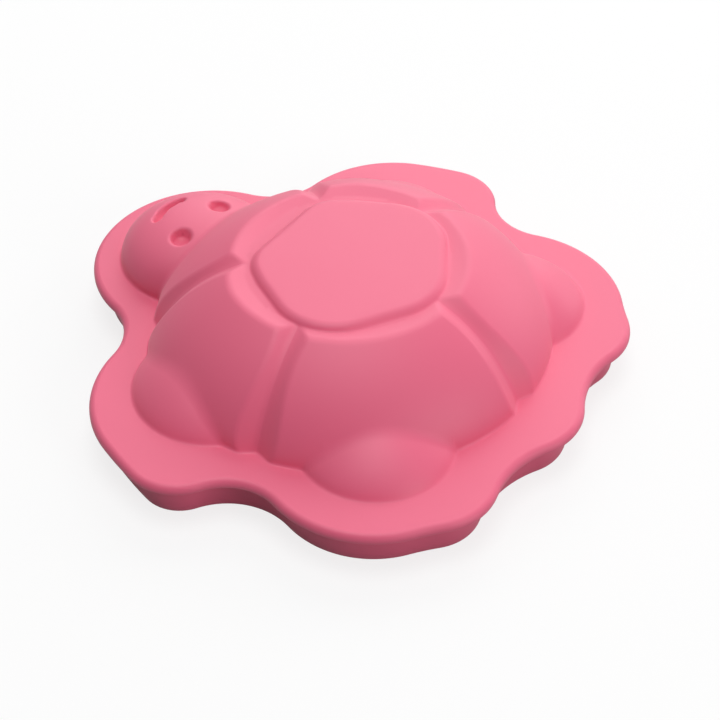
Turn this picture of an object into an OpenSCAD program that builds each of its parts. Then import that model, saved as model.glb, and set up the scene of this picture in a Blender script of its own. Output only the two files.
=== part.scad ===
// Turtle sand mould: one flexible silicone moulding, hollow and open underneath.
// The head points to -X, the rear to +X, and the mould stands on the rim of its skirt.
// Every form of the relief is a body of revolution with a flared foot, drawn twice:
// once for the outer face and once, a wall thinner, for the hollow that shapes the sand.

/* [Silicone] */
// Thickness of the silicone, the same all over
wall = 2.5; // [1.8:0.1:3.2]

/* [Skirt and flange] */
// Height of the skirt, from the ground to the flange
skirt_h = 11; // [7:0.5:18]
// How far the skirt stands in from the edge of the flange
skirt_inset = 4.2; // [3:0.1:6]
// Radius of the soft upper edge of the flange
edge_r = 2; // [1:0.1:2.2]

/* [Outline of the flange] */
// Width of the flange in front of the head
head_margin = 6.7; // [6:0.1:9]
// Head lobe, radius
head_lobe_r = 34; // [32:0.5:36]
// Front leg lobe, how far its centre lies behind the centre of the leg
front_lobe_back = 1.1; // [0:0.1:2]
// Front leg lobe, how far its centre lies outside the centre of the leg
front_lobe_out = 2.8; // [1:0.1:4]
// Front leg lobe, radius
front_lobe_r = 34; // [33:0.5:35]
// Front foot, how far its centre lies behind the centre of the leg
front_foot_back = 6.1; // [5:0.1:8]
// Width of the flange outside the front leg
front_foot_margin = 16.4; // [15.5:0.1:17.5]
// Front foot, radius
front_foot_r = 16; // [15:0.5:17]
// Rear leg lobe, how far its centre lies behind the centre of the leg
rear_lobe_back = 0.2; // [0:0.1:1.5]
// Rear leg lobe, how far its centre lies outside the centre of the leg
rear_lobe_out = 1.4; // [0:0.1:3]
// Rear leg lobe, radius
rear_lobe_r = 32.5; // [31.5:0.5:34]
// Rear foot, how far its centre lies behind the centre of the leg
rear_foot_back = 17.7; // [16.7:0.1:19]
// Rear foot, radius
rear_foot_r = 19; // [18:0.5:20]
// Width of the flange behind the shell
tail_margin = 16.3; // [15:0.1:18]
// Tail lobe, radius
tail_lobe_r = 20; // [19:0.5:21]
// Width of the flange beside the shell, in the hollow between head and front leg
neck_margin = 3.3; // [2.4:0.1:4.5]
// Radius of the long bulge in front of the front foot
bulge_r = 130; // [110:5:160]
// Width of the flange beside the shell, in the hollow between front and rear leg
waist_margin = 7.5; // [6.5:0.1:8.5]
// Radius of the hollow in front of the rear foot
hip_r = 70; // [60:1:80]
// Radius of the hollow beside the tail
rump_r = 29; // [25:0.5:33]

/* [Shell] */
// Distance of the shell's centre from the middle, towards the tail
shell_x = 4.5; // [3:0.5:6]
// Radius of the shell's dome at the flange
shell_r = 59.2; // [56:0.1:62]
// Height that the shell's dome would have without its flat top
shell_h = 33; // [31:0.1:36]
// Radius of the flared foot of the shell
shell_flare = 2; // [1:0.5:4]
// Radius of the ridge where the dome meets the bank round the crown
ridge_r = 34.4; // [32:0.1:36]
// Width of the bank that slopes in from the ridge
bank_w = 4; // [3:0.5:5]
// Depth of the channel round the crown, below the ridge
channel_depth = 0.7; // [0.3:0.1:1.5]

/* [Crown] */
// Crown, distance of its front corners towards the head, from the middle
crown_front_x = 9.5; // [8:0.5:11]
// Crown, distance of its front corners from the middle line
crown_front_y = 11.5; // [10:0.5:13]
// Radius of the front corners of the crown
crown_front_r = 10; // [8:0.5:11]
// Crown, distance of its side corners towards the tail
crown_side_x = 9; // [7:0.5:11]
// Crown, distance of its side corners from the middle line
crown_side_y = 12; // [10:0.5:14]
// Radius of the side corners of the crown
crown_side_r = 18; // [16:0.5:19]
// Crown, distance of its rear corner towards the tail
crown_rear_x = 16.5; // [15:0.1:19]
// Radius of the rear corner of the crown
crown_rear_r = 18; // [16:0.5:19]
// Height of the crown above its channel
crown_h = 1.7; // [1:0.1:2.5]
// How far the crown's side leans in
crown_lean = 1.2; // [0.5:0.1:2]

/* [Grooves of the shell] */
// Direction of the side grooves, in degrees from the tail
groove_side_a = 79.5; // [76:0.5:83]
// Direction of the front grooves, in degrees from the tail
groove_front_a = 141.5; // [138:0.5:145]
// Depth of a groove
groove_depth = 2; // [1:0.1:2.4]
// Radius of the arc that a groove follows down the shell
groove_arc_r = 43.5; // [42:0.5:46]
// Width of a groove at its floor
groove_floor_w = 2.4; // [1.5:0.1:4]
// Width of a groove at its ridges
groove_w = 9.6; // [8:0.1:11]

/* [Head] */
// How far the head's centre lies inside the edge of the shell
head_in = 5.4; // [4:0.1:8]
// Radius of the head's dome
head_r = 24; // [22:0.1:25]
// Height of the head above the flange
head_h = 15; // [12:0.1:17]
// Radius of the flared foot of the head
head_flare = 2; // [1:0.5:4]
// How far the eyes lie in front of the line where the head's top meets the shell
eye_ahead = 4.1; // [3.8:0.1:5]
// Distance of an eye from the middle line
eye_y = 9; // [8:0.1:11]
// Radius of an eye
eye_r = 3.1; // [2:0.1:3.5]
// Depth of an eye
eye_depth = 2; // [1:0.1:2.5]
// How far the middle of the smile lies in front of the head's centre
smile_ahead = 11.2; // [9:0.1:12.5]
// Radius of the curve of the smile
smile_r = 8.7; // [7.5:0.1:10]
// How far the smile reaches to each side, in degrees of its curve
smile_a = 42; // [35:1:50]
// Radius of the groove of the smile
smile_w = 1.4; // [1:0.1:2]
// Depth of the groove of the smile
smile_depth = 1.1; // [0.6:0.1:1.4]

/* [Legs] */
// Direction of the front legs, in degrees from the tail
front_leg_a = 109.1; // [107:0.1:111]
// How far the centre of a front leg lies inside the edge of the shell
front_leg_in = 14.6; // [13:0.1:16]
// Front leg, radius of its dome
front_leg_r = 23; // [22:0.1:24]
// Height of a front leg's dome above the flange
front_leg_h = 12; // [10:0.1:13]
// Direction of the rear legs, in degrees from the tail
rear_leg_a = 45.7; // [44:0.1:47.5]
// How far the centre of a rear leg lies inside the edge of the shell
rear_leg_in = 10.8; // [9.5:0.1:12]
// Rear leg, radius of its dome
rear_leg_r = 21.6; // [20.5:0.1:22.5]
// Height of a rear leg's dome above the flange
rear_leg_h = 10.8; // [9:0.1:12]
// Radius of the flared foot of a leg
leg_flare = 2; // [1:0.5:4]

/* [Hidden] */

// Overrun of cuts, so that no face lies on another
over = 1;
// Roundness of the domes: 2 is a circle, and less is a softer shoulder
shell_e = 1.66;
head_e = 2.3;
leg_e = 1.45;
// Steps of a dome's profile, of a flare and of the flange's edge
dome_steps = 9;
flare_steps = 4;
edge_steps = 5;
// Directions in which the outline of the flange is drawn
outline_steps = 180;
// Halvings in the search for the radius of a hollow
halvings = 30;
// Sweep of a groove to each side of the level, past the ridge above and past the flange below
groove_sweep_a = 75;
$fn = 96;

flange_z = skirt_h + wall;
skin = "#f0788f";
skin_deep = "#c9506a";
skin_pale = "#f59aae";

// Heights of the ridge and of the channel round the crown, above the flange
ridge_z = shell_h * pow(1 - pow(ridge_r / shell_r, shell_e), 1 / shell_e);
channel_h = ridge_z - channel_depth;
// Distance of the head's centre from the middle, towards -X, and the centres of the right legs:
// all of them follow the edge of the shell
head_x = shell_r - shell_x - head_in;
front_leg_at = [shell_x, 0] + (shell_r - front_leg_in) * [cos(front_leg_a), sin(front_leg_a)];
rear_leg_at = [shell_x, 0] + (shell_r - rear_leg_in) * [cos(rear_leg_a), sin(rear_leg_a)];
// Distances of the eyes and of the middle of the smile from the middle
eye_x = shell_r * pow(1 - pow(head_h / shell_h, shell_e), 1 / shell_e) - shell_x + eye_ahead;
smile_x = head_x + smile_ahead;

// Outline of the flange, from the head to the tail on one side: lobes [x, y, radius],
// and between each two the radius of the arc that blends them, hollow or, below zero, bulging
lobes = [
    [head_lobe_r - head_x - head_r - head_margin, 0, head_lobe_r],
    [front_leg_at[0] + front_lobe_back, front_leg_at[1] + front_lobe_out, front_lobe_r],
    [
        front_leg_at[0] + front_foot_back,
        front_leg_at[1] + front_leg_r + front_foot_margin - front_foot_r,
        front_foot_r
    ],
    [rear_leg_at[0] + rear_lobe_back, rear_leg_at[1] + rear_lobe_out, rear_lobe_r],
    [rear_leg_at[0] + rear_foot_back, rear_leg_at[1] + rear_lobe_out, rear_foot_r],
    [shell_x + shell_r + tail_margin - tail_lobe_r, 0, tail_lobe_r]
];
shell_foot = foot_r(shell_r, shell_h, shell_e, shell_flare);
blends = [
    hollow_r(lobes[0], lobes[1], shell_foot + neck_margin),
    -bulge_r,
    hollow_r(lobes[2], lobes[3], shell_foot + waist_margin),
    hip_r,
    rump_r
];

// A lobe's centre
function plan(p) = [p[0], p[1]];

// Centre of the arc of radius b that touches the lobes p and q
function blend_centre(p, q, b) =
    let (
        line = plan(q) - plan(p),
        span = norm(line),
        to_p = abs(p[2] + b),
        to_q = abs(q[2] + b),
        along = (to_p * to_p - to_q * to_q + span * span) / (2 * span),
        aside = sign(b) * sqrt(to_p * to_p - along * along),
        u = line / span
    )
    plan(p) + along * u + aside * [-u[1], u[0]];

// Radius of the hollow arc between the lobes p and q that stays as far from the shell's centre
// as reach, found by halving the span that it lies in
function hollow_r(p, q, reach) =
    let (gap = norm(plan(q) - plan(p)) - p[2] - q[2])
    halved_r(p, q, reach, max(gap / 2, 0) + over, 2 * shell_r, halvings);

function halved_r(p, q, reach, low, high, left) =
    let (b = (low + high) / 2, away = norm(blend_centre(p, q, b) - [shell_x, 0]) - b)
    left == 0 ? b
        : away < reach ? halved_r(p, q, reach, b, high, left - 1)
        : halved_r(p, q, reach, low, b, left - 1);

// The point where the arc round c, of radius b, touches the lobe p whose edge lies in by d
function touch(p, c, b, d) =
    let (u = sign(b) * (c - plan(p)))
    plan(p) + (p[2] - d) * u / norm(u);

// Direction of a point, seen from the shell's centre
function direction(p) = atan2(p[1], p[0] - shell_x);

centres = [for (i = [0:len(blends) - 1]) blend_centre(lobes[i], lobes[i + 1], blends[i])];

// Arcs in turn, as [x, y, radius, side]: side is 1 for a bulging arc and -1 for a hollow one
function arcs(d) = [
    for (i = [0:len(lobes) - 1])
        for (a = i < len(blends)
            ? [[lobes[i][0], lobes[i][1], lobes[i][2] - d, 1],
               [centres[i][0], centres[i][1], abs(blends[i] + d), -sign(blends[i])]]
            : [[lobes[i][0], lobes[i][1], lobes[i][2] - d, 1]])
            a
];

// Directions, seen from the shell's centre, in which one arc goes over into the next
function turns(d) = [
    for (i = [0:len(blends) - 1])
        for (p = [lobes[i], lobes[i + 1]])
            direction(touch(p, centres[i], blends[i], d))
];

// Distance from the shell's centre to the edge of the flange, less an inset of d
function edge_at(a, d, all_arcs, all_turns) =
    let (
        passed = len([for (t = all_turns) if (t > abs(a)) t]),
        arc = all_arcs[passed],
        c = [arc[0] - shell_x, arc[1]],
        u = [cos(a), abs(sin(a))],
        along = c * u
    )
    along + arc[3] * sqrt(max(0, arc[2] * arc[2] - c * c + along * along));

// The outline of the flange, less an inset of d, as points round the shell's centre
function outline(d) =
    let (all_arcs = arcs(d), all_turns = turns(d))
    [
        for (i = [0:outline_steps - 1])
            let (
                turn = 360 * i / outline_steps,
                a = turn > 180 ? turn - 360 : turn,
                r = edge_at(a, d, all_arcs, all_turns)
            )
            [shell_x + r * cos(a), r * sin(a)]
    ];

// Radius at which the flared foot of a dome runs out on the flange
function foot_r(r, h, e, flare) = flare + r * pow(1 - pow(flare / h, e), 1 / e);

// Profile of a dome with a flared foot, its face lying in by d and its height counted from
// the flange. The points in top come last and close it over the axis.
function dome_profile(r, h, e, flare, d, last_a, top) =
    let (
        foot = foot_r(r, h, e, flare),
        first_a = asin(pow(flare / (h - d), e / 2)),
        step = (last_a - first_a) / dome_steps
    )
    concat(
        [[0, -wall - (d > 0 ? over : 0)], [foot, -wall - (d > 0 ? over : 0)]],
        [
            for (i = [0:flare_steps])
                let (a = 270 - 90 * i / flare_steps)
                [foot + (flare + d) * cos(a), flare + (flare + d) * sin(a)]
        ],
        [
            for (i = [1:dome_steps])
                let (a = first_a + i * step)
                [(r - d) * pow(cos(a), 2 / e), (h - d) * pow(sin(a), 2 / e)]
        ],
        top
    );

// A whole dome: its profile ends on the axis
function round_profile(r, h, e, flare, d) =
    let (last_a = 90 * (dome_steps - 1) / dome_steps)
    dome_profile(r, h, e, flare, d, last_a, [[0, h - d]]);

module shell_form(d) {
    last_a = acos(pow(ridge_r / (shell_r - d), shell_e / 2));
    top = [[ridge_r - bank_w, channel_h - d], [0, channel_h - d]];
    translate([shell_x, 0, flange_z])
        rotate_extrude()
            polygon(dome_profile(shell_r, shell_h, shell_e, shell_flare, d, last_a, top));
}

module head_form(d) {
    translate([-head_x, 0, flange_z])
        rotate_extrude()
            polygon(round_profile(head_r, head_h, head_e, head_flare, d));
}

module leg_form(at, side, r, h, d) {
    translate([at[0], side * at[1], flange_z])
        rotate_extrude()
            polygon(round_profile(r, h, leg_e, leg_flare, d));
}

module front_leg_form(side, d) {
    leg_form(front_leg_at, side, front_leg_r, front_leg_h, d);
}

module rear_leg_form(side, d) {
    leg_form(rear_leg_at, side, rear_leg_r, rear_leg_h, d);
}

// What lies under a dome: the flange is open there
module opening(at, r, h, e, flare) {
    translate([at[0], at[1], -over])
        cylinder(r = foot_r(r, h, e, flare), h = flange_z + 2 * over);
}

module footprint() {
    opening([shell_x, 0], shell_r, shell_h, shell_e, shell_flare);
    opening([-head_x, 0], head_r, head_h, head_e, head_flare);
    for (side = [-1, 1]) {
        opening([front_leg_at[0], side * front_leg_at[1]], front_leg_r, front_leg_h, leg_e, leg_flare);
        opening([rear_leg_at[0], side * rear_leg_at[1]], rear_leg_r, rear_leg_h, leg_e, leg_flare);
    }
}

// Section of a groove, cut a wall deeper for the hollow, its ridges flush with the face
module groove_section(d) {
    lean = (groove_w - groove_floor_w) / 2 / groove_depth;
    half = groove_floor_w / 2 + d * (sqrt(1 + lean * lean) - lean);
    rise = groove_depth + over + d;
    polygon([[-half, 0], [half, 0], [half + lean * rise, rise], [-half - lean * rise, rise]]);
}

// A groove: its section swept down the dome, on an arc from the ridge to the flange
module groove(d) {
    chord = [ridge_r - shell_r, ridge_z];
    half = norm(chord) / 2;
    inward = [-chord[1], chord[0]] / norm(chord);
    centre = [shell_r, 0] + chord / 2 + inward * sqrt(groove_arc_r * groove_arc_r - half * half);
    translate([centre[0], 0, centre[1]])
        rotate([90, groove_sweep_a, 0])
            rotate_extrude(angle = 2 * groove_sweep_a)
                translate([groove_arc_r - groove_depth - d, 0])
                    rotate(-90)
                        groove_section(d);
}

module grooves(d) {
    intersection() {
        translate([shell_x, 0, flange_z])
            for (a = [0, groove_side_a, -groove_side_a, groove_front_a, -groove_front_a])
                rotate([0, 0, a])
                    groove(d);
        translate([shell_x, 0, flange_z - d])
            cylinder(r = 2 * shell_r, h = shell_h);
    }
}

// The crown: a plate with five rounded corners, whose sides lean in
module crown(d) {
    corners = [
        [-crown_front_x, crown_front_y, crown_front_r],
        [-crown_front_x, -crown_front_y, crown_front_r],
        [crown_side_x, crown_side_y, crown_side_r],
        [crown_side_x, -crown_side_y, crown_side_r],
        [crown_rear_x, 0, crown_rear_r]
    ];
    translate([0, 0, flange_z + channel_h - d - over])
        hull()
            for (c = corners)
                translate([c[0], c[1], 0])
                    cylinder(r1 = c[2] - d, r2 = c[2] - d - crown_lean, h = crown_h + over, $fn = 48);
}

// The shell with its grooves and its crown, its face lying in by d
module shell_skin(d) {
    difference() {
        shell_form(d);
        grooves(d);
    }
    crown(d);
}

// Height of the head's face above the ground
function head_top(x, y) =
    let (reach = norm([x + head_x, y]) / head_r)
    flange_z + head_h * pow(1 - pow(reach, head_e), 1 / head_e);

// Two round eye pits and the arc of the smile
module face(d) {
    for (side = [-1, 1])
        translate([-eye_x, side * eye_y, head_top(-eye_x, eye_y) + eye_r - eye_depth])
            sphere(r = eye_r + d);
    translate([smile_r - smile_x, 0, head_top(-smile_x, 0) + smile_w - smile_depth])
        rotate([0, 0, 180 - smile_a])
            rotate_extrude(angle = 2 * smile_a)
                translate([smile_r, 0])
                    circle(r = smile_w + d, $fn = 48);
}

module head_skin(d) {
    difference() {
        head_form(d);
        face(d);
    }
}

module skirt() {
    color(skin_deep)
        linear_extrude(skirt_h)
            difference() {
                polygon(outline(skirt_inset));
                polygon(outline(skirt_inset + wall));
            }
}

module flange() {
    rings = concat(
        [[for (p = outline(0)) [p[0], p[1], skirt_h]]],
        [
            for (i = [0:edge_steps])
                let (a = 90 * i / edge_steps)
                [
                    for (p = outline(edge_r * (1 - cos(a))))
                        [p[0], p[1], flange_z - edge_r * (1 - sin(a))]
                ]
        ]
    );
    n = outline_steps;
    top = (len(rings) - 1) * n;
    middle = len(rings) * n;
    color(skin)
        difference() {
            polyhedron(
                points = concat(
                    [for (ring = rings) each ring],
                    [[shell_x, 0, skirt_h], [shell_x, 0, flange_z]]
                ),
                faces = concat(
                    [for (i = [0:n - 1]) [middle, i, (i + 1) % n]],
                    [for (k = [0:len(rings) - 2]) for (i = [0:n - 1])
                        [k * n + i, (k + 1) * n + i, (k + 1) * n + (i + 1) % n, k * n + (i + 1) % n]],
                    [for (i = [0:n - 1]) [middle + 1, top + (i + 1) % n, top + i]]
                )
            );
            footprint();
        }
}

module shell() {
    color(skin)
        difference() {
            shell_skin(0);
            shell_skin(wall);
            head_form(wall);
            for (side = [-1, 1]) {
                front_leg_form(side, wall);
                rear_leg_form(side, wall);
            }
        }
}

module head() {
    color(skin_pale)
        difference() {
            head_skin(0);
            head_skin(wall);
            shell_form(0);
        }
}

module front_leg(side) {
    color(skin_pale)
        difference() {
            front_leg_form(side, 0);
            front_leg_form(side, wall);
            shell_form(0);
        }
}

module rear_leg(side) {
    color(skin_pale)
        difference() {
            rear_leg_form(side, 0);
            rear_leg_form(side, wall);
            shell_form(0);
        }
}

module front_left_leg() { front_leg(-1); }
module front_right_leg() { front_leg(1); }
module rear_left_leg() { rear_leg(-1); }
module rear_right_leg() { rear_leg(1); }

skirt();
flange();
shell();
head();
front_left_leg();
front_right_leg();
rear_left_leg();
rear_right_leg();
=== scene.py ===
"""Turtle sand mould: one soft silicone casting, hollow underneath, on a pale studio floor.

Sizes are in millimetres until the vertices are placed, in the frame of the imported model. The
head points to -X and the turtle's left to -Y. Heights in the relief count from the flange.
"""
import logging
import math
from collections.abc import Callable
from dataclasses import dataclass, field
from enum import Enum

import bmesh
import bpy
import numpy as np
from mathutils import Matrix, Vector


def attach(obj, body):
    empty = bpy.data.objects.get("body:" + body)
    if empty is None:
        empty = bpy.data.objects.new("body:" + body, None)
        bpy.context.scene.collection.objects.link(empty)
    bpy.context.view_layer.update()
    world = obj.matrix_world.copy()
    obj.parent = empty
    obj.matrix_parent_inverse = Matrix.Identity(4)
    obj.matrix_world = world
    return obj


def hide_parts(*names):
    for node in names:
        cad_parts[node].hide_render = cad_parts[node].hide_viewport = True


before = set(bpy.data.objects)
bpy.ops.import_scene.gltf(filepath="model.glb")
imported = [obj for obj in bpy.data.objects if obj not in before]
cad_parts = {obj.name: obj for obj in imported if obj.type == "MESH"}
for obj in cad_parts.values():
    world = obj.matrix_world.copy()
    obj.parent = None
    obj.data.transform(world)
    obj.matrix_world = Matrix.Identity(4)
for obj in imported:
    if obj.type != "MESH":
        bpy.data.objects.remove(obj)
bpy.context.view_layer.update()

MM = 0.001
TINY = 1e-9
LEAST_SLOPE = 0.2
LOG = logging.getLogger("sand_mould")
Array = np.ndarray


def soft_join(a: Array, b: Array, fillet: float | Array) -> Array:
    """Joins two forms and fills the hollow between them with a fillet.

    Args:
        a: Distances from the first form, negative inside it.
        b: Distances from the second form.
        fillet: How far the fillet reaches on either form.

    Returns:
        Distances from the joined form.
    """
    share = np.clip(1 - np.abs(a - b) / fillet, 0, None)
    return np.minimum(a, b) - share * share * fillet / 4


def soft_cut(a: Array, b: Array, rounding: float | Array) -> Array:
    """Keeps what two forms share and rounds the edge between them.

    Args:
        a: Distances from the first form, negative inside it.
        b: Distances from the second form.
        rounding: How far the rounding reaches on either form.

    Returns:
        Distances from the common form.
    """
    return -soft_join(-a, -b, rounding)


def swell(t: Array) -> Array:
    """A smooth hump: 1 at t = 0, and flat zero from t = 1 on."""
    return np.clip(1 - t * t, 0, None) ** 2


def steps_to(start: float | Array, end: float | Array, count: int) -> list[float | Array]:
    """Values in equal steps from one value to another.

    Args:
        start: The value before the first step, which isn't among the results.
        end: The value after the last step.
        count: How many steps there are.

    Returns:
        The value after each step.
    """
    return [start + (end - start) * i / count for i in range(1, count + 1)]


def quarter(count: int) -> Array:
    """Angles of a quarter turn in equal steps, from none to a right angle, in radians."""
    return np.radians(np.linspace(0, 90, count + 1))


def border(low: Array, high: Array, within: Callable[[Array], Array], halvings: int) -> Array:
    """Finds by halving where values pass out of a form.

    Args:
        low: Values inside the form.
        high: Values outside it.
        within: Tells of each value whether it lies inside.
        halvings: How many times the range between low and high is halved.

    Returns:
        The values on the form's border.
    """
    for _ in range(halvings):
        middle = (low + high) / 2
        inside = within(middle)
        low, high = np.where(inside, middle, low), np.where(inside, high, middle)
    return (low + high) / 2


def tangent(before: Array, here: Array, after: Array) -> Array:
    """Directions of lines at their points.

    Args:
        before: The point before each point.
        here: The points.
        after: The point after each point.

    Returns:
        Vectors along the lines, where the nearer neighbour counts for more.
    """
    back, ahead = here - before, after - here
    size_back = np.linalg.norm(back, axis=-1, keepdims=True) + TINY
    size_ahead = np.linalg.norm(ahead, axis=-1, keepdims=True) + TINY
    return back * size_ahead / size_back + ahead * size_back / size_ahead


@dataclass(frozen=True)
class Circle:
    """A circle in plan."""

    x: float
    y: float
    radius: float

    def centre(self) -> Array:
        """The centre as an array."""
        return np.array([self.x, self.y])


@dataclass(frozen=True)
class Dome:
    """A dome that stands on the flange."""

    x: float
    y: float
    radius: float
    height: float
    roundness: float

    def distance(self, x: Array, y: Array, z: Array) -> Array:
        """Distances of points from the dome's face.

        Args:
            x: Places of the points along the mould.
            y: Places of the points across the mould.
            z: Heights of the points above the flange.

        Returns:
            Distances, negative inside the dome.
        """
        across = np.hypot(x - self.x, y - self.y) / self.radius
        up = np.clip(z, 0, None) / self.height
        total = across**self.roundness + up**self.roundness + TINY
        reach = total ** (1 / self.roundness)
        steep = np.hypot(
            across ** (self.roundness - 1) / self.radius,
            up ** (self.roundness - 1) / self.height,
        )
        steep = np.maximum(steep * reach / total, LEAST_SLOPE / self.radius)
        return (reach - 1) / steep

    def rise(self, reach: float | Array) -> float | Array:
        """Height of the dome at a distance from its axis."""
        share = 1 - np.minimum(reach / self.radius, 1) ** self.roundness
        return self.height * share ** (1 / self.roundness)

    def rim(self, middle_x: float, directions: Array) -> Array:
        """Distances from the shell's centre to the far side of the dome's foot.

        Args:
            middle_x: Place of the shell's centre along the mould.
            directions: Directions seen from the shell's centre, in radians.

        Returns:
            One distance for each direction, zero where the line of sight misses the dome.
        """
        x, y = self.x - middle_x, self.y
        along = x * np.cos(directions) + y * np.sin(directions)
        root = self.radius**2 - x * x - y * y + along * along
        return np.where(root > 0, along + np.sqrt(np.clip(root, 0, None)), 0.0)


@dataclass(frozen=True)
class Outline:
    """The wavy outline of the flange: lobes, with an arc between each two that blends them.

    The lobes run from the head along the turtle's right to the tail, and the left mirrors
    them. A blend with a positive radius is a hollow, one with a negative radius a bulge.
    """

    middle_x: float
    lobes: tuple[Circle, ...] = (
        Circle(-47.2, 0.0, 34.2),
        Circle(-9.0, 45.0, 34.0),
        Circle(-4.0, 65.54, 16.0),
        Circle(38.5, 36.04, 32.5),
        Circle(56.0, 36.04, 19.0),
        Circle(60.0, 0.0, 20.0),
    )
    blends: tuple[float, ...] = (18.0, -130.0, 16.5, 70.0, 29.0)

    def _blend_centre(self, i: int) -> Array:
        """Centre of the arc that touches the lobes i and i + 1."""
        first, second, radius = self.lobes[i], self.lobes[i + 1], self.blends[i]
        start, end = first.centre(), second.centre()
        span = float(np.hypot(*(end - start)))
        to_first, to_second = abs(first.radius + radius), abs(second.radius + radius)
        along = (to_first**2 - to_second**2 + span**2) / (2 * span)
        aside = math.copysign(math.sqrt(to_first**2 - along**2), radius)
        u = (end - start) / span
        return start + along * u + aside * np.array([-u[1], u[0]])

    def edge(self, directions: Array, inset: float) -> Array:
        """Distances from the shell's centre to the outline.

        Args:
            directions: Directions seen from the shell's centre, in radians.
            inset: How far inside the outline the line runs.

        Returns:
            One distance for each direction.
        """
        folded = np.abs((directions + math.pi) % (2 * math.pi) - math.pi)
        arcs = [(lobe.x - self.middle_x, lobe.y, lobe.radius - inset, 1.0) for lobe in self.lobes]
        turns = []
        for i, blend in enumerate(self.blends):
            centre, sign = self._blend_centre(i), math.copysign(1.0, blend)
            arc = (centre[0] - self.middle_x, centre[1], abs(blend + inset), -sign)
            arcs.insert(2 * i + 1, arc)
            for lobe in self.lobes[i:i + 2]:
                u = sign * (centre - lobe.centre())
                point = lobe.centre() + (lobe.radius - inset) * u / np.hypot(*u)
                turns.append(math.atan2(point[1], point[0] - self.middle_x))
        passed = sum((turn > folded).astype(int) for turn in turns)
        x, y, radius, side = np.array(arcs)[passed].T
        along = x * np.cos(folded) + y * np.sin(folded)
        root = np.clip(radius**2 - x * x - y * y + along * along, 0, None)
        return along + side * np.sqrt(root)


@dataclass(frozen=True)
class Crown:
    """The five-sided plate on top of the shell."""

    foot_z: float = 23.4
    top_z: float = 25.1
    swelling: float = 0.25
    swelling_reach: float = 20.0
    lean: float = 1.3
    edge_rounding: float = 1.3
    farthest: float = 60.0
    halvings: int = 30
    corners: tuple[Circle, ...] = (
        Circle(-9.5, -11.5, 10.0),
        Circle(9.0, -12.0, 18.0),
        Circle(16.5, 0.0, 18.0),
        Circle(9.0, 12.0, 18.0),
        Circle(-9.5, 11.5, 10.0),
    )

    def aside(self, x: Array, y: Array) -> Array:
        """Distances in plan from the crown's foot.

        Args:
            x: Places of the points along the mould.
            y: Places of the points across the mould.

        Returns:
            Distances, negative inside the foot.
        """
        sides = []
        for i, start in enumerate(self.corners):
            end = self.corners[(i + 1) % len(self.corners)]
            step = end.centre() - start.centre()
            lean = math.asin((end.radius - start.radius) / float(np.hypot(*step)))
            sides.append(math.atan2(step[1], step[0]) - math.pi / 2 - lean)
        result = np.full(np.shape(x), -np.inf)
        for normal, corner in zip(sides, self.corners):
            reach = (x - corner.x) * math.cos(normal) + (y - corner.y) * math.sin(normal)
            result = np.maximum(result, reach - corner.radius)
        for i, corner in enumerate(self.corners):
            turn = (sides[i] - sides[i - 1]) % (2 * math.pi)
            facing = np.arctan2(y - corner.y, x - corner.x) - sides[i - 1]
            away = np.hypot(x - corner.x, y - corner.y) - corner.radius
            result = np.where(facing % (2 * math.pi) < turn, away, result)
        return result

    def foot(self, middle_x: float, directions: Array) -> Array:
        """Distances from the shell's centre to the crown's foot.

        Args:
            middle_x: Place of the shell's centre along the mould.
            directions: Directions seen from the shell's centre, in radians.

        Returns:
            One distance for each direction.
        """
        def within(reach: Array) -> Array:
            """Whether points at these distances lie inside the crown's foot."""
            x, y = middle_x + reach * np.cos(directions), reach * np.sin(directions)
            return self.aside(x, y) <= 0

        farthest = np.full_like(directions, self.farthest)
        return border(np.zeros_like(directions), farthest, within, self.halvings)

    def distance(self, aside: Array, z: Array) -> Array:
        """Distances of points from the crown's face.

        Args:
            aside: Distances of the points in plan from the crown's foot.
            z: Heights of the points above the flange.

        Returns:
            Distances, negative inside the crown.
        """
        rise = self.top_z - self.foot_z
        side = (aside + self.lean * (z - self.foot_z) / rise) * rise / math.hypot(rise, self.lean)
        dome = self.swelling * np.clip(-aside / self.swelling_reach, 0, 1)
        return soft_cut(side, z - self.top_z - dome, self.edge_rounding)


@dataclass(frozen=True)
class Groove:
    """A V-shaped hollow that runs down the shell on an arc, from the ridge to the flange."""

    direction: float
    depth: float = 2.0
    arc_radius: float = 43.5
    floor_width: float = 0.8
    width: float = 9.6
    floor_rounding: float = 0.6
    notch: float = 5.0

    def distance(self, dome: Dome, ridge: float, x: Array, y: Array, z: Array) -> Array:
        """Distances of points from the hollow.

        Args:
            dome: The shell's dome.
            ridge: Radius of the ridge round the crown.
            x: Places of the points along the mould.
            y: Places of the points across the mould.
            z: Heights of the points above the flange.

        Returns:
            Distances, negative inside the hollow.
        """
        angle = math.radians(self.direction)
        along = (x - dome.x) * math.cos(angle) + (y - dome.y) * math.sin(angle)
        aside = np.abs((y - dome.y) * math.cos(angle) - (x - dome.x) * math.sin(angle))
        chord = np.array([ridge - dome.radius, dome.rise(ridge)])
        span = float(np.hypot(*chord))
        inward = np.array([-chord[1], chord[0]]) / span
        sag = math.sqrt(self.arc_radius**2 - span * span / 4)
        centre = np.array([dome.radius, 0.0]) + chord / 2 + inward * sag
        out = np.hypot(along - centre[0], z - centre[1]) - self.arc_radius + self.depth
        lean = (self.width - self.floor_width) / 2 / self.depth
        wall = (aside - self.floor_width / 2 - lean * out) / math.hypot(1, lean)
        notch = ridge - self.notch - along
        return np.maximum(soft_cut(-out, wall, self.floor_rounding), notch)


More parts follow.
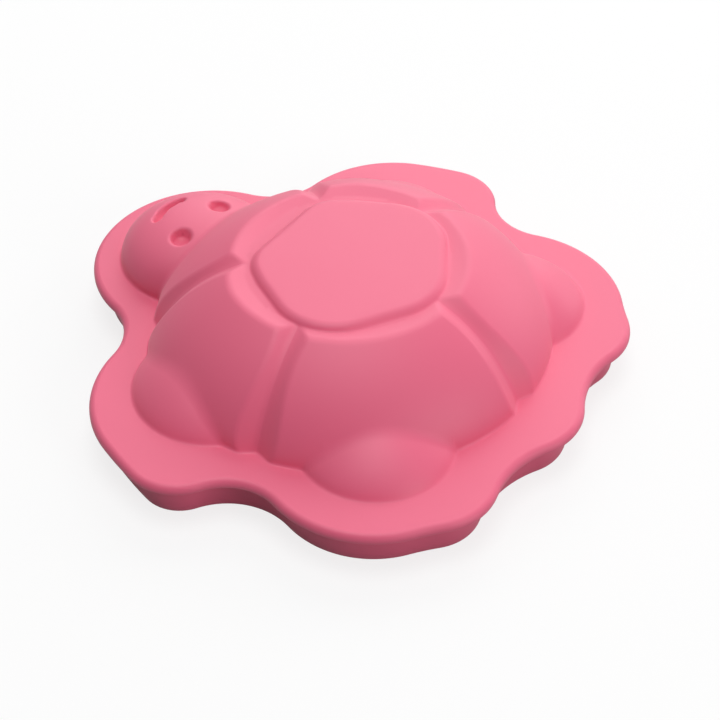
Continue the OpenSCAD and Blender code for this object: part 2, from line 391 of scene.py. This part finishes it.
@dataclass(frozen=True)
class Shell:
    """The carapace: a dome whose flat top carries the crown, with five grooves."""

    dome: Dome = Dome(4.5, 0.0, 59.2, 33.0, 1.66)
    crown: Crown = Crown()
    ridge_radius: float = 34.4
    bank_width: float = 5.0
    ridge_rounding: float = 0.8
    groove_ridge_rounding: float = 0.5
    crown_fillet: float = 0.4
    front_flattening: float = 0.065
    front_span: tuple[float, float] = (118.0, 150.0)
    grooves: tuple[Groove, ...] = tuple(
        Groove(a) for a in (0.0, 79.5, -79.5, 141.5, -141.5)
    )

    def flattening(self, directions: Array) -> Array:
        """How much nearer to its centre the shell's face lies towards the head.

        Args:
            directions: Directions seen from the shell's centre, in radians.

        Returns:
            One factor for each direction, 1 where the shell is round and more at the front.
        """
        start, end = (math.radians(a) for a in self.front_span)
        turn = np.abs((directions + math.pi) % (2 * math.pi) - math.pi)
        share = np.clip((turn - start) / (end - start), 0, 1)
        return 1 + self.front_flattening * share * share * (3 - 2 * share)

    def distance(self, x: Array, y: Array, z: Array) -> Array:
        """Distances of points from the shell's face.

        Args:
            x: Places of the points along the mould.
            y: Places of the points across the mould.
            z: Heights of the points above the flange.

        Returns:
            Distances, negative inside the shell.
        """
        factor = self.flattening(np.arctan2(y, x - self.dome.x))
        x, y = self.dome.x + (x - self.dome.x) * factor, y * factor
        reach = np.hypot(x - self.dome.x, y)
        bank_top = self.dome.rise(self.ridge_radius)
        bank_rise = bank_top - self.crown.foot_z
        slope = np.clip((reach - self.ridge_radius) / self.bank_width + 1, 0, None)
        top = z - self.crown.foot_z - bank_rise * slope
        body = soft_cut(self.dome.distance(x, y, z), top, self.ridge_rounding)
        for groove in self.grooves:
            hollow = groove.distance(self.dome, self.ridge_radius, x, y, z)
            body = soft_cut(body, -hollow, self.groove_ridge_rounding)
        crown = self.crown.distance(self.crown.aside(x, y), z)
        return soft_join(body, crown, self.crown_fillet)


@dataclass(frozen=True)
class Head:
    """The head: a dome with two round eye pits and the arc of a smile."""

    dome: Dome = Dome(-49.5, 0.0, 24.0, 14.0, 2.1)
    eye_x: float = -48.8
    eye_y: float = 8.95
    eye_radius: float = 2.8
    eye_depth: float = 3.0
    eye_bowl: float = 0.9
    eye_rounding: float = 0.8
    eye_lip: float = 1.5
    smile_x: float = -61.6
    smile_radius: float = 11.4
    smile_angle: float = 26.0
    smile_outer_reach: float = 2.7
    smile_inner_reach: float = 1.3
    smile_depth: float = 2.8

    def _smile(self, x: Array, y: Array) -> Array:
        """The depth of the smile's groove, as a share of its full depth."""
        centre_x = self.smile_x + self.smile_radius
        half = math.radians(self.smile_angle)
        turn = np.clip(np.arctan2(y, centre_x - x), -half, half)
        on_x = centre_x - self.smile_radius * np.cos(turn)
        away = np.hypot(x - on_x, y - self.smile_radius * np.sin(turn))
        side = np.clip(np.hypot(x - centre_x, y) - self.smile_radius, -1, 1) / 2 + 0.5
        reach = self.smile_inner_reach + (self.smile_outer_reach - self.smile_inner_reach) * side
        return swell(away / reach)

    def distance(self, x: Array, y: Array, z: Array) -> Array:
        """Distances of points from the head's face.

        Args:
            x: Places of the points along the mould.
            y: Places of the points across the mould.
            z: Heights of the points above the flange.

        Returns:
            Distances, negative inside the head.
        """
        result = self.dome.distance(x, y, z)
        result = result + self.smile_depth * self._smile(x, y)
        away = np.hypot(x - self.eye_x, np.abs(y) - self.eye_y)
        floor = self.dome.rise(math.hypot(self.eye_x - self.dome.x, self.eye_y)) - self.eye_depth
        bowl = self.eye_bowl * np.clip(away / self.eye_radius, 0, 1) ** 2
        hollow = soft_cut(away - self.eye_radius, floor + bowl - z, self.eye_rounding)
        return soft_cut(result, -hollow, self.eye_lip)


class Zone(Enum):
    """The zones of the casting, by the name of the node that each one stands for."""

    FLANGE = "flange"
    SKIRT = "skirt"
    SHELL = "shell"
    HEAD = "head"
    FRONT_LEFT_LEG = "front_left_leg"
    FRONT_RIGHT_LEG = "front_right_leg"
    REAR_LEFT_LEG = "rear_left_leg"
    REAR_RIGHT_LEG = "rear_right_leg"


@dataclass(frozen=True)
class Relief:
    """The forms of the turtle, joined with soft fillets."""

    shell: Shell = Shell()
    head: Head = Head()
    legs: dict[Zone, Dome] = field(default_factory=lambda: {
        Zone.FRONT_LEFT_LEG: Dome(-10.1, -42.15, 23.0, 12.0, 1.45),
        Zone.FRONT_RIGHT_LEG: Dome(-10.1, 42.15, 23.0, 12.0, 1.45),
        Zone.REAR_LEFT_LEG: Dome(38.3, -34.64, 21.6, 10.8, 1.45),
        Zone.REAR_RIGHT_LEG: Dome(38.3, 34.64, 21.6, 10.8, 1.45),
    })
    shell_fillet: float = 0.7
    foot_fillet: float = 0.9
    shoulder_fillet: float = 1.4
    neck_fillet: float = 1.4
    fillet_height: float = 5.0
    highest: float = 28.0
    lowest: float = -1.0
    probe: float = 0.03
    junction_halvings: int = 30
    rise_halvings: int = 22

    def distances(self, x: Array, y: Array, z: Array) -> dict[Zone, Array]:
        """Distances of points from each form.

        Args:
            x: Places of the points along the mould.
            y: Places of the points across the mould.
            z: Heights of the points above the flange.

        Returns:
            The distances from each form, by its zone.
        """
        forms = {Zone.SHELL: self.shell.distance(x, y, z), Zone.HEAD: self.head.distance(x, y, z)}
        forms.update({zone: dome.distance(x, y, z) for zone, dome in self.legs.items()})
        return forms

    def distance(self, x: Array, y: Array, z: Array) -> Array:
        """Distances of points from the whole face.

        Args:
            x: Places of the points along the mould.
            y: Places of the points across the mould.
            z: Heights of the points above the flange.

        Returns:
            Distances, negative inside the silicone.
        """
        forms = self.distances(x, y, z)
        low = np.clip(1 - z / self.fillet_height, 0, 1)
        shoulder = self.shoulder_fillet + (self.foot_fillet - self.shoulder_fillet) * low
        neck = self.neck_fillet + (self.foot_fillet - self.neck_fillet) * low
        result = soft_join(z, forms[Zone.SHELL], self.shell_fillet)
        for zone in self.legs:
            result = soft_join(result, forms[zone], shoulder)
        return soft_join(result, forms[Zone.HEAD], neck)

    def facing(self, points: Array) -> Array:
        """Directions in which the face looks, or a face at another depth under it.

        Args:
            points: Points above the flange, their last axis x, y and z.

        Returns:
            Unit vectors that point out of the silicone's outer side.
        """
        slopes = []
        for axis in range(3):
            ends = []
            for step in (self.probe, -self.probe):
                moved = points.copy()
                moved[..., axis] += step
                ends.append(self.distance(moved[..., 0], moved[..., 1], moved[..., 2]))
            slopes.append(ends[0] - ends[1])
        slopes = np.stack(slopes, -1)
        return slopes / np.linalg.norm(slopes, axis=-1, keepdims=True)

    def foot(self, directions: Array) -> Array:
        """Distances from the shell's centre to the foot of the relief.

        Args:
            directions: Directions seen from the shell's centre, in radians.

        Returns:
            One distance for each direction.
        """
        shell = self.shell.dome
        rims = [dome.rim(shell.x, directions) for dome in (self.head.dome, *self.legs.values())]
        return np.max([shell.radius / self.shell.flattening(directions), *rims], axis=0)

    def junction(self, directions: Array) -> Array:
        """Distances from the shell's centre to where the shell goes over into head or leg.

        Args:
            directions: Directions seen from the shell's centre, in radians.

        Returns:
            One distance for each direction, the shell's radius where it meets only the flange.
        """
        shell, others = self.shell.dome, (self.head.dome, *self.legs.values())
        factor = self.shell.flattening(directions)

        def above(reach: Array) -> Array:
            """Whether the shell is higher than head and legs at these distances."""
            x, y = shell.x + reach * np.cos(directions), reach * np.sin(directions)
            rises = [dome.rise(np.hypot(x - dome.x, y - dome.y)) for dome in others]
            return shell.rise(reach * factor) > np.max(rises, axis=0)

        return border(self.shell.ridge_radius / factor, shell.radius / factor, above,
                      self.junction_halvings)

    def rise(self, x: Array, y: Array, depth: float) -> Array:
        """Heights of the face, or of a face that lies deeper in the silicone.

        Args:
            x: Places of the points along the mould.
            y: Places of the points across the mould.
            depth: How deep under the outer face the face lies.

        Returns:
            Heights above the flange.
        """
        low, high = np.full(x.shape, self.lowest - depth), np.full(x.shape, self.highest)
        return border(low, high, lambda z: self.distance(x, y, z) <= -depth, self.rise_halvings)


class Wire:
    """A socket of a shader node, on which arithmetic adds Math nodes."""

    def __init__(self, graph: "Graph", socket: bpy.types.NodeSocket) -> None:
        """Wraps an output socket of the graph."""
        self.graph = graph
        self.socket = socket

    def _math(self, operation: str, other: "Wire | float") -> "Wire":
        """Adds one Math node for this value and another."""
        return self.graph.node("ShaderNodeMath", {"operation": operation},
                               {0: self, 1: other}, "Value")

    def __add__(self, other: "Wire | float") -> "Wire":
        """The sum."""
        return self._math("ADD", other)

    def __sub__(self, other: "Wire | float") -> "Wire":
        """The difference."""
        return self._math("SUBTRACT", other)

    def __mul__(self, other: "Wire | float") -> "Wire":
        """The product."""
        return self._math("MULTIPLY", other)


@dataclass
class Graph:
    """The node tree of one material or of the world."""

    owner: bpy.types.Material | bpy.types.World
    gloss_share: float = 0.35

    @classmethod
    def of_material(cls, name: str) -> "Graph":
        """An empty node tree in a new material."""
        return cls(bpy.data.materials.new(name)).cleared()

    @classmethod
    def of_world(cls, name: str) -> "Graph":
        """An empty node tree in a new world."""
        return cls(bpy.data.worlds.new(name)).cleared()

    def cleared(self) -> "Graph":
        """The same graph, without the nodes that Blender puts there."""
        self.owner.use_nodes = True
        self.owner.node_tree.nodes.clear()
        return self

    def seen(self) -> Wire:
        """1 for rays from the camera, a share for those off a gloss, and 0 for the light."""
        path = [self.node("ShaderNodeLightPath", {}, {}, kind)
                for kind in ("Is Camera Ray", "Is Glossy Ray")]
        return path[0] + path[1] * self.gloss_share

    def node(self, kind: str, settings: dict[str, object],
             values: dict[str | int, object], output: str | None) -> Wire | None:
        """Adds a node.

        Args:
            kind: The node's type.
            settings: The node's own settings, set before its sockets.
            values: Values or wires for its input sockets, by name or number.
            output: Name of the output socket that is wanted.

        Returns:
            The output socket as a wire, or None for a node without one.
        """
        tree = self.owner.node_tree
        node = tree.nodes.new(kind)
        for name, value in settings.items():
            setattr(node, name, value)
        for name, value in values.items():
            sockets = [s for s in node.inputs if s.name == name and s.enabled]
            socket = node.inputs[name] if isinstance(name, int) else sockets[0]
            if isinstance(value, Wire):
                tree.links.new(value.socket, socket)
            else:
                socket.default_value = value
        if output is None:
            return None
        return Wire(self, [s for s in node.outputs if s.name == output and s.enabled][0])


@dataclass(frozen=True)
class Silicone:
    """Matte, velvety silicone rubber, coloured right through."""

    name: str = "silicone"
    pale: tuple[float, float, float] = (0.87, 0.124, 0.236)
    deep: tuple[float, float, float] = (0.85, 0.116, 0.225)
    roughness: float = 0.55
    roughness_spread: float = 0.08
    gloss: float = 0.8
    sheen: float = 0.18
    sheen_roughness: float = 0.5
    cloud_scale: float = 30.0
    cloud_detail: float = 2.0
    grain_scale: float = 2600.0
    grain_detail: float = 3.0
    grain_height: float = 0.03 * MM
    grain_strength: float = 0.25

    def material(self) -> bpy.types.Material:
        """Builds the material.

        Returns:
            The material, with its patterns on Object coordinates.
        """
        graph = Graph.of_material(self.name)
        place = graph.node("ShaderNodeTexCoord", {}, {}, "Object")
        clouds = graph.node("ShaderNodeTexNoise", {}, {
            "Vector": place, "Scale": self.cloud_scale, "Detail": self.cloud_detail}, "Fac")
        grain = graph.node("ShaderNodeTexNoise", {}, {
            "Vector": place, "Scale": self.grain_scale, "Detail": self.grain_detail}, "Fac")
        colour = graph.node("ShaderNodeMix", {"data_type": "RGBA"}, {
            "Factor": clouds, "A": (*self.deep, 1.0), "B": (*self.pale, 1.0)}, "Result")
        bump = graph.node("ShaderNodeBump", {}, {
            "Strength": self.grain_strength, "Distance": self.grain_height,
            "Height": grain}, "Normal")
        shader = graph.node("ShaderNodeBsdfPrincipled", {}, {
            "Base Color": colour,
            "Roughness": (grain - 0.5) * self.roughness_spread + self.roughness,
            "Specular IOR Level": self.gloss,
            "Sheen Weight": self.sheen,
            "Sheen Roughness": self.sheen_roughness,
            "Normal": bump}, "BSDF")
        graph.node("ShaderNodeOutputMaterial", {}, {"Surface": shader}, None)
        return graph.owner


def deselect() -> None:
    """Deselects every object."""
    bpy.ops.object.select_all(action="DESELECT")


def activate(piece: bpy.types.Object) -> None:
    """Selects one object alone and makes it the active one."""
    deselect()
    piece.select_set(True)
    bpy.context.view_layer.objects.active = piece


def read(items: bpy.types.bpy_prop_collection, name: str, kind: type, width: int = 1) -> Array:
    """Reads one attribute of many items.

    Args:
        items: The vertices, faces or corners of a mesh, or the values of one of its attributes.
        name: The attribute's name.
        kind: The type of its numbers.
        width: How many numbers each item has.

    Returns:
        One number for each item, or one row where an item has several.
    """
    values = np.empty(len(items) * width, kind)
    items.foreach_get(name, values)
    return values if width == 1 else values.reshape(-1, width)


@dataclass(frozen=True)
class Spokes:
    """How the rings of the skin are divided: closer over the grooves and over the face."""

    count: int = 608
    groove_half: float = 9.0
    face_direction: float = 180.0
    face_half: float = 26.0
    margin: float = 3.0
    samples: int = 7200

    def directions(self, grooves: tuple[Groove, ...]) -> Array:
        """Directions of the spokes.

        Args:
            grooves: The shell's grooves.

        Returns:
            One direction for each spoke, in radians.
        """
        crowded = [(groove.direction, self.groove_half) for groove in grooves]
        crowded.append((self.face_direction, self.face_half))
        fine = np.linspace(0, 360, self.samples + 1)
        density = np.ones_like(fine)
        for centre, half in crowded:
            away = np.abs((fine - centre + 180) % 360 - 180)
            density += np.clip((half + self.margin - away) / self.margin, 0, 1)
        total = np.concatenate([[0], np.cumsum((density[1:] + density[:-1]) / 2)])
        shares = np.arange(self.count) / self.count
        return np.radians(np.interp(shares, total / total[-1], fine))


@dataclass(frozen=True)
class Steps:
    """How many rings each stretch of the skin takes, and where the stretches end.

    The relief's stretches end within, at and past the crown's foot, on both sides of the ridge,
    at the junction with head or leg, before the foot of the relief and at its toe.
    """

    relief: tuple[int, ...] = (5, 2, 9, 5, 8, 14, 48, 14)
    flat: tuple[int, ...] = (7, 2)
    edge: int = 9
    lip: int = 4
    ledge: int = 4
    fillet: int = 4
    wall: int = 5
    rim: int = 3
    crown_shares: tuple[float, float, float] = (0.87, 0.93, 1.03)
    ridge_reach: float = 1.5
    junction_room: float = 7.5
    foot_reach: float = 2.5
    toe_reach: float = 1.2
    toe_room: float = 0.8
    flat_room: float = 0.4
    heel_room: float = 0.9
    heel_run: float = 8.0


@dataclass
class Casting:
    """The silicone casting: one skin, laid in rings round the shell's centre."""

    relief: Relief = field(default_factory=Relief)
    finish: Silicone = Silicone()
    spokes: Spokes = Spokes()
    steps: Steps = Steps()
    skirt_height: float = 11.0
    wall: float = 2.5
    skirt_inset: float = 4.2
    edge_radius: float = 2.0
    lip_radius: float = 0.25
    rim_radius: float = 0.4
    fillet: float = 0.8
    weld: float = 0.0001 * MM
    middle_x: float = field(init=False)
    flange_z: float = field(init=False)
    outline: Outline = field(init=False)
    turns: Array = field(init=False)
    toe_ring: int = field(init=False)
    skirt_ring: int = field(init=False)
    outer: Array = field(init=False)
    inner: Array = field(init=False)
    outer_facing: Array = field(init=False)
    inner_facing: Array = field(init=False)

    def __post_init__(self) -> None:
        """Works out the spokes and the points of the face on both sides of the wall."""
        self.middle_x = self.relief.shell.dome.x
        self.flange_z = self.skirt_height + self.wall
        self.outline = Outline(self.middle_x)
        self.turns = self.spokes.directions(self.relief.shell.grooves)
        outer, inner = self._relief_rings()
        rim_outer, rim_inner, self.skirt_ring = self._rim_rings(inner[-1, :, 2])
        self.skirt_ring += len(outer) - 1
        self.outer = np.concatenate([outer, rim_outer])
        self.inner = np.concatenate([inner, rim_inner])
        self.outer_facing = self._facing(self.outer, len(outer), 1.0)
        self.inner_facing = self._facing(self.inner, len(inner), -1.0)

    def _place(self, reach: Array) -> tuple[Array, Array]:
        """Places along and across the mould, at distances from the shell's centre."""
        return self.middle_x + reach * np.cos(self.turns), reach * np.sin(self.turns)

    def _relief_rings(self) -> tuple[Array, Array]:
        """Rings of points from the middle of the crown to the edge of the flange.

        Returns:
            The points of the outer face and those of the inner one.
        """
        steps, shell = self.steps, self.relief.shell
        factor = shell.flattening(self.turns)
        crown = shell.crown.foot(self.middle_x, self.turns) / factor
        ridge = shell.ridge_radius / factor
        edge = self.outline.edge(self.turns, self.edge_radius)
        foot = self.relief.foot(self.turns)
        toe = np.minimum(foot + steps.toe_reach, edge - steps.toe_room)
        junction = np.minimum(self.relief.junction(self.turns), foot - steps.junction_room)
        ends = [crown * share for share in steps.crown_shares]
        ends += [ridge - steps.ridge_reach, ridge + steps.ridge_reach, junction,
                 foot - steps.foot_reach, toe, edge - steps.flat_room, edge]
        rings = [np.zeros_like(crown)]
        for end, count in zip(ends, steps.relief + steps.flat):
            rings += steps_to(rings[-1], end, count)
        rings = np.array(rings)
        self.toe_ring = sum(steps.relief)
        x, y = self._place(rings)
        outer = np.stack([x, y, self.flange_z + self.relief.rise(x, y, 0.0)], -1)
        x, y = self._place(self._inner_reach(rings, foot, edge))
        z = self.relief.rise(x, y, self.wall)
        z -= (z + self.wall) * np.clip((rings - foot) / (toe - foot), 0, 1)
        return outer, np.stack([x, y, self.flange_z + z], -1)

    def _inner_reach(self, rings: Array, foot: Array, edge: Array) -> Array:
        """Moves the rings of the inner face inwards, so that they end at the skirt's inside.

        Args:
            rings: Distances of the outer face's points from the shell's centre.
            foot: Distances to the foot of the relief.
            edge: Distances to the outermost ring.

        Returns:
            Distances of the inner face's points.
        """
        last = self.outline.edge(self.turns, self.skirt_inset + self.wall + 2 * self.fillet)
        heel = np.minimum(foot, last - self.steps.heel_room)
        start = heel - self.steps.heel_run
        inward = start + (heel - start) * (rings - start) / (foot - start)
        outward = heel + (last - heel) * (rings - foot) / (edge - foot)
        return np.where(rings < start, rings, np.where(rings < foot, inward, outward))

    def _rim_rings(self, ceiling: Array) -> tuple[Array, Array, int]:
        """Rings of points over the flange's edge and down the skirt.

        Args:
            ceiling: Heights at which the inner face meets the skirt.

        Returns:
            The points of the outer face and of the inner one, and the count of rings down to
            the middle of the fillet between flange and skirt.
        """
        steps, top, low, stand = self.steps, self.flange_z, self.skirt_height, self.skirt_inset
        edge, lip, rim, fillet = self.edge_radius, self.lip_radius, self.rim_radius, self.fillet
        outer = [(edge * (1 - math.cos(a)), top - edge * (1 - math.sin(a)))
                 for a in quarter(steps.edge)[-2::-1]]
        outer += [(lip * (1 - math.cos(a)), low + lip * (1 - math.sin(a)))
                  for a in quarter(steps.lip)]
        outer += [(inset, low) for inset in steps_to(lip, stand - fillet, steps.ledge)]
        ledge, inside = len(outer), stand + self.wall
        inner = [(inset, ceiling)
                 for inset in steps_to(inside + 2 * fillet, inside + fillet, ledge)]
        for a in quarter(steps.fillet)[-2::-1]:
            aside, drop = fillet * (1 - math.cos(a)), fillet * (1 - math.sin(a))
            outer.append((stand - aside, low - drop))
            inner.append((inside + aside, ceiling - drop))
        outer += [(stand, z) for z in steps_to(low - fillet, rim, steps.wall)]
        inner += [(inside, z) for z in steps_to(ceiling - fillet, rim, steps.wall)]
        for a in quarter(steps.rim)[1:]:
            aside, rise = rim * (1 - math.cos(a)), rim * (1 - math.sin(a))
            outer.append((stand + aside, rise))
            inner.append((inside - aside, rise))
        return self._rings_at(outer), self._rings_at(inner), ledge + steps.fillet // 2

    def _rings_at(self, sections: list[tuple[float, float | Array]]) -> Array:
        """Rings of points that follow the outline.

        Args:
            sections: How far inside the outline each ring lies, and its height.

        Returns:
            The points, ring after ring.
        """
        rings = []
        for inset, z in sections:
            x, y = self._place(self.outline.edge(self.turns, inset))
            rings.append(np.stack([x, y, np.broadcast_to(z, x.shape)], -1))
        return np.array(rings)

    def _facing(self, points: Array, count: int, side: float) -> Array:
        """Directions in which a face looks, at its points.

        Args:
            points: Rings of points.
            count: How many of the rings lie on the relief and the flat of the flange.
            side: 1 for the outer face and -1 for the inner one.

        Returns:
            Unit vectors, one for each point, ring after ring.
        """
        relief = side * self.relief.facing(points[:count] - (0.0, 0.0, self.flange_z))
        outwards = tangent(points[count - 1:-2], points[count:-1], points[count + 1:])
        outwards = np.concatenate([outwards, points[-1:] - points[-2:-1]])
        rim = points[count:]
        around = tangent(np.roll(rim, 1, 1), rim, np.roll(rim, -1, 1))
        rim = side * np.cross(outwards, around)
        rim /= np.linalg.norm(rim, axis=-1, keepdims=True) + TINY
        return np.concatenate([relief, rim]).reshape(-1, 3)

    def _zones(self) -> Array:
        """The zone of each face of the sheet, by ring and spoke, as its place in Zone."""
        names = list(Zone)
        ahead = np.roll(self.outer, -1, 1)
        middle = (self.outer[:-1] + self.outer[1:] + ahead[:-1] + ahead[1:]) / 4
        x, y, z = middle[..., 0], middle[..., 1], middle[..., 2] - self.flange_z
        forms = self.relief.distances(x, y, z)
        order = np.array([names.index(zone) for zone in forms])
        zones = order[np.argmin(list(forms.values()), axis=0)]
        zones[self.toe_ring:] = names.index(Zone.FLANGE)
        zones[self.skirt_ring:] = names.index(Zone.SKIRT)
        return zones

    def _sheet(self) -> bpy.types.Object:
        """The outer face as one sheet, from a grid that is laid in rings round the shell.

        Returns:
            The sheet. Its vertices carry their place in the rings and its faces their zone.
        """
        rings, spokes = len(self.outer), self.spokes.count
        deselect()
        bpy.ops.mesh.primitive_grid_add(x_subdivisions=rings - 1, y_subdivisions=spokes, size=1)
        sheet = bpy.context.object
        mesh = sheet.data
        flat = read(mesh.vertices, "co", np.float32, 3)
        ring = np.rint((flat[:, 0] + 0.5) * (rings - 1)).astype(int)
        spoke = np.rint((flat[:, 1] + 0.5) * spokes).astype(int)
        spots = (ring * spokes + spoke % spokes).astype(np.int32)
        corners = read(mesh.loops, "vertex_index", np.int32).reshape(-1, 4)
        zones = self._zones()[ring[corners].min(1), spoke[corners].min(1)].astype(np.int32)
        mesh.attributes.new("spot", "INT", "POINT").data.foreach_set("value", spots)
        mesh.attributes.new("zone", "INT", "FACE").data.foreach_set("value", zones)
        places = (self.outer.reshape(-1, 3)[spots] * MM).astype(np.float32)
        mesh.vertices.foreach_set("co", places.ravel())
        mesh.update()
        bpy.ops.object.mode_set(mode="EDIT")
        bpy.ops.mesh.select_all(action="SELECT")
        bpy.ops.mesh.remove_doubles(threshold=self.weld)
        bpy.ops.object.mode_set(mode="OBJECT")
        return sheet

    def _cut_out(self, sheet: bpy.types.Object, zone: Zone) -> bpy.types.Object:
        """Copies the sheet, keeps one zone of it and gives that zone its wall.

        Args:
            sheet: The whole outer face.
            zone: The zone to keep.

        Returns:
            The zone as a closed piece.
        """
        activate(sheet)
        bpy.ops.object.duplicate()
        piece = bpy.context.object
        piece.name = piece.data.name = f"silicone_{zone.value}"
        zones = read(piece.data.attributes["zone"].data, "value", np.int32)
        bpy.context.tool_settings.mesh_select_mode = (False, False, True)
        bpy.ops.object.mode_set(mode="EDIT")
        bpy.ops.mesh.select_all(action="DESELECT")
        bpy.ops.object.mode_set(mode="OBJECT")
        piece.data.polygons.foreach_set("select", zones != list(Zone).index(zone))
        bpy.ops.object.mode_set(mode="EDIT")
        bpy.ops.mesh.delete(type="FACE")
        bpy.ops.mesh.select_all(action="SELECT")
        bpy.ops.mesh.extrude_region()
        bpy.ops.object.mode_set(mode="OBJECT")
        self._fit(piece)
        return piece

    def _fit(self, piece: bpy.types.Object) -> None:
        """Puts the extruded face of a piece in its place and turns its faces outwards."""
        mesh = piece.data
        spots = read(mesh.attributes["spot"].data, "value", np.int32)
        deep = read(mesh.vertices, "select", bool)
        outer, inner = self.outer.reshape(-1, 3)[spots], self.inner.reshape(-1, 3)[spots]
        places = np.where(deep[:, None], inner, outer) * MM
        mesh.vertices.foreach_set("co", places.astype(np.float32).ravel())
        mesh.update()
        shape = bmesh.new()
        shape.from_mesh(mesh)
        inside_out = shape.calc_volume(signed=True) < 0
        shape.free()
        if inside_out:
            mesh.flip_normals()
        self._smooth(mesh, spots, deep)
        for name in ("spot", "zone"):
            mesh.attributes.remove(mesh.attributes[name])

    def _smooth(self, mesh: bpy.types.Mesh, spots: Array, deep: Array) -> None:
        """Lets the light follow the casting's form, with sharp edges round the cut walls.

        Args:
            mesh: The piece's mesh.
            spots: Place of each vertex in the rings.
            deep: Whether each vertex lies on the inner face.
        """
        mesh.shade_smooth()
        corners = read(mesh.loops, "vertex_index", np.int32)
        edges = read(mesh.loops, "edge_index", np.int32)
        sizes = read(mesh.polygons, "loop_total", np.int32)
        flat = read(mesh.polygons, "normal", np.float32, 3)
        owner = np.repeat(np.arange(len(sizes)), sizes)
        depth = np.bincount(owner, deep[corners]) / sizes
        across = ((depth > 0) & (depth < 1))[owner]
        normals = np.where(deep[:, None], self.inner_facing[spots], self.outer_facing[spots])
        normals = np.where(across[:, None], flat[owner], normals[corners])
        sharp = np.zeros(len(mesh.edges), bool)
        sharp[edges[across]] = True
        mesh.edges.foreach_set("use_edge_sharp", sharp)
        mesh.normals_split_custom_set(normals.tolist())

    def build(self) -> list[bpy.types.Object]:
        """Builds one closed piece for each zone and dresses it.

        Returns:
            The pieces.
        """
        material = self.finish.material()
        sheet = self._sheet()
        pieces = []
        for zone in Zone:
            piece = self._cut_out(sheet, zone)
            piece.data.materials.append(material)
            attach(piece, "root")
            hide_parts(zone.value)
            LOG.info("%s: %d faces", piece.name, len(piece.data.polygons))
            pieces.append(piece)
        bpy.data.objects.remove(sheet)
        return pieces


@dataclass(frozen=True)
class Floor:
    """The plain floor of the studio, white to the eye, that throws little light back."""

    radius: float = 1.6
    corners: int = 96
    seen: float = 0.95
    bounce: float = 0.3
    glow: float = 0.8

    def build(self) -> None:
        """Builds the floor and gives it its material."""
        deselect()
        bpy.ops.mesh.primitive_circle_add(vertices=self.corners, radius=self.radius,
                                          fill_type="NGON")
        floor = bpy.context.object
        floor.name = "floor"
        graph = Graph.of_material("floor")
        colour = graph.node("ShaderNodeMix", {"data_type": "RGBA"}, {
            "Factor": graph.seen(), "A": (*[self.bounce] * 3, 1.0),
            "B": (*[self.seen] * 3, 1.0)}, "Result")
        shade = graph.node("ShaderNodeBsdfDiffuse", {}, {"Color": colour}, "BSDF")
        white = graph.node("ShaderNodeEmission", {}, {"Strength": 1.0}, "Emission")
        shader = graph.node("ShaderNodeMixShader", {}, {
            0: graph.seen() * self.glow, 1: shade, 2: white}, "Shader")
        graph.node("ShaderNodeOutputMaterial", {}, {"Surface": shader}, None)
        floor.data.materials.append(graph.owner)


@dataclass(frozen=True)
class Lamp:
    """A soft round lamp that looks at the mould."""

    name: str
    azimuth: float
    elevation: float
    size: float
    power: float
    distance: float = 1.6

    def build(self) -> None:
        """Hangs the lamp, its azimuth counted from the tail towards the turtle's right."""
        turn, tilt = math.radians(self.azimuth), math.radians(self.elevation)
        place = self.distance * Vector((math.cos(turn) * math.cos(tilt),
                                        math.sin(turn) * math.cos(tilt), math.sin(tilt)))
        deselect()
        bpy.ops.object.light_add(type="AREA", location=place,
                                 rotation=place.to_track_quat("Z", "Y").to_euler())
        lamp = bpy.context.object
        lamp.name = self.name
        lamp.data.shape = "DISK"
        lamp.data.size = self.size
        lamp.data.energy = self.power


@dataclass(frozen=True)
class Studio:
    """The floor, the lamps, the world's light and the camera of the photograph."""

    floor: Floor = Floor()
    lamps: tuple[Lamp, ...] = (
        Lamp("top", 0.0, 90.0, 1.0, 11.8),
        Lamp("left", 180.0, 40.0, 1.6, 2.5),
        Lamp("tail", -5.0, 22.0, 0.8, 7.5),
        Lamp("right", 70.0, 20.0, 0.8, 4.5),
        Lamp("far", 115.0, 32.0, 1.4, 12.5),
    )
    world_light: float = 0.13
    camera_place: tuple[float, float, float] = (0.2049, -0.2806, 0.3228)
    camera_azimuth: float = 34.91
    camera_elevation: float = 43.25
    lens: float = 80.2
    sensor: float = 36.0

    def _world(self) -> None:
        """Lights the scene from all sides, and shows white where nothing stands."""
        graph = Graph.of_world("studio")
        back = graph.node("ShaderNodeBackground", {}, {
            "Color": (1.0, 1.0, 1.0, 1.0),
            "Strength": graph.seen() * (1 - self.world_light) + self.world_light}, "Background")
        graph.node("ShaderNodeOutputWorld", {}, {"Surface": back}, None)
        bpy.context.scene.world = graph.owner

    def _camera(self) -> None:
        """Sets up the camera at the photograph's place and angle."""
        turn, tilt = math.radians(self.camera_azimuth), math.radians(self.camera_elevation)
        back = Vector((math.sin(turn) * math.cos(tilt), -math.cos(turn) * math.cos(tilt),
                       math.sin(tilt)))
        right = Vector((math.cos(turn), math.sin(turn), 0.0))
        deselect()
        bpy.ops.object.camera_add(location=self.camera_place)
        camera = bpy.context.object
        camera.rotation_euler = Matrix((right, back.cross(right), back)).transposed().to_euler()
        camera.data.lens = self.lens
        camera.data.sensor_width = self.sensor
        bpy.context.scene.camera = camera

    def build(self) -> None:
        """Builds the whole studio."""
        self.floor.build()
        for lamp in self.lamps:
            lamp.build()
        self._world()
        self._camera()
        bpy.context.scene.view_settings.view_transform = "Standard"
        LOG.info("studio: %d lamps", len(self.lamps))


def main() -> None:
    """Builds the casting and the studio, and logs how many pieces the casting has."""
    logging.basicConfig(level=logging.INFO, format="%(name)s: %(message)s")
    pieces = Casting().build()
    LOG.info("casting: %d pieces", len(pieces))
    Studio().build()


if __name__ == "__main__":
    main()
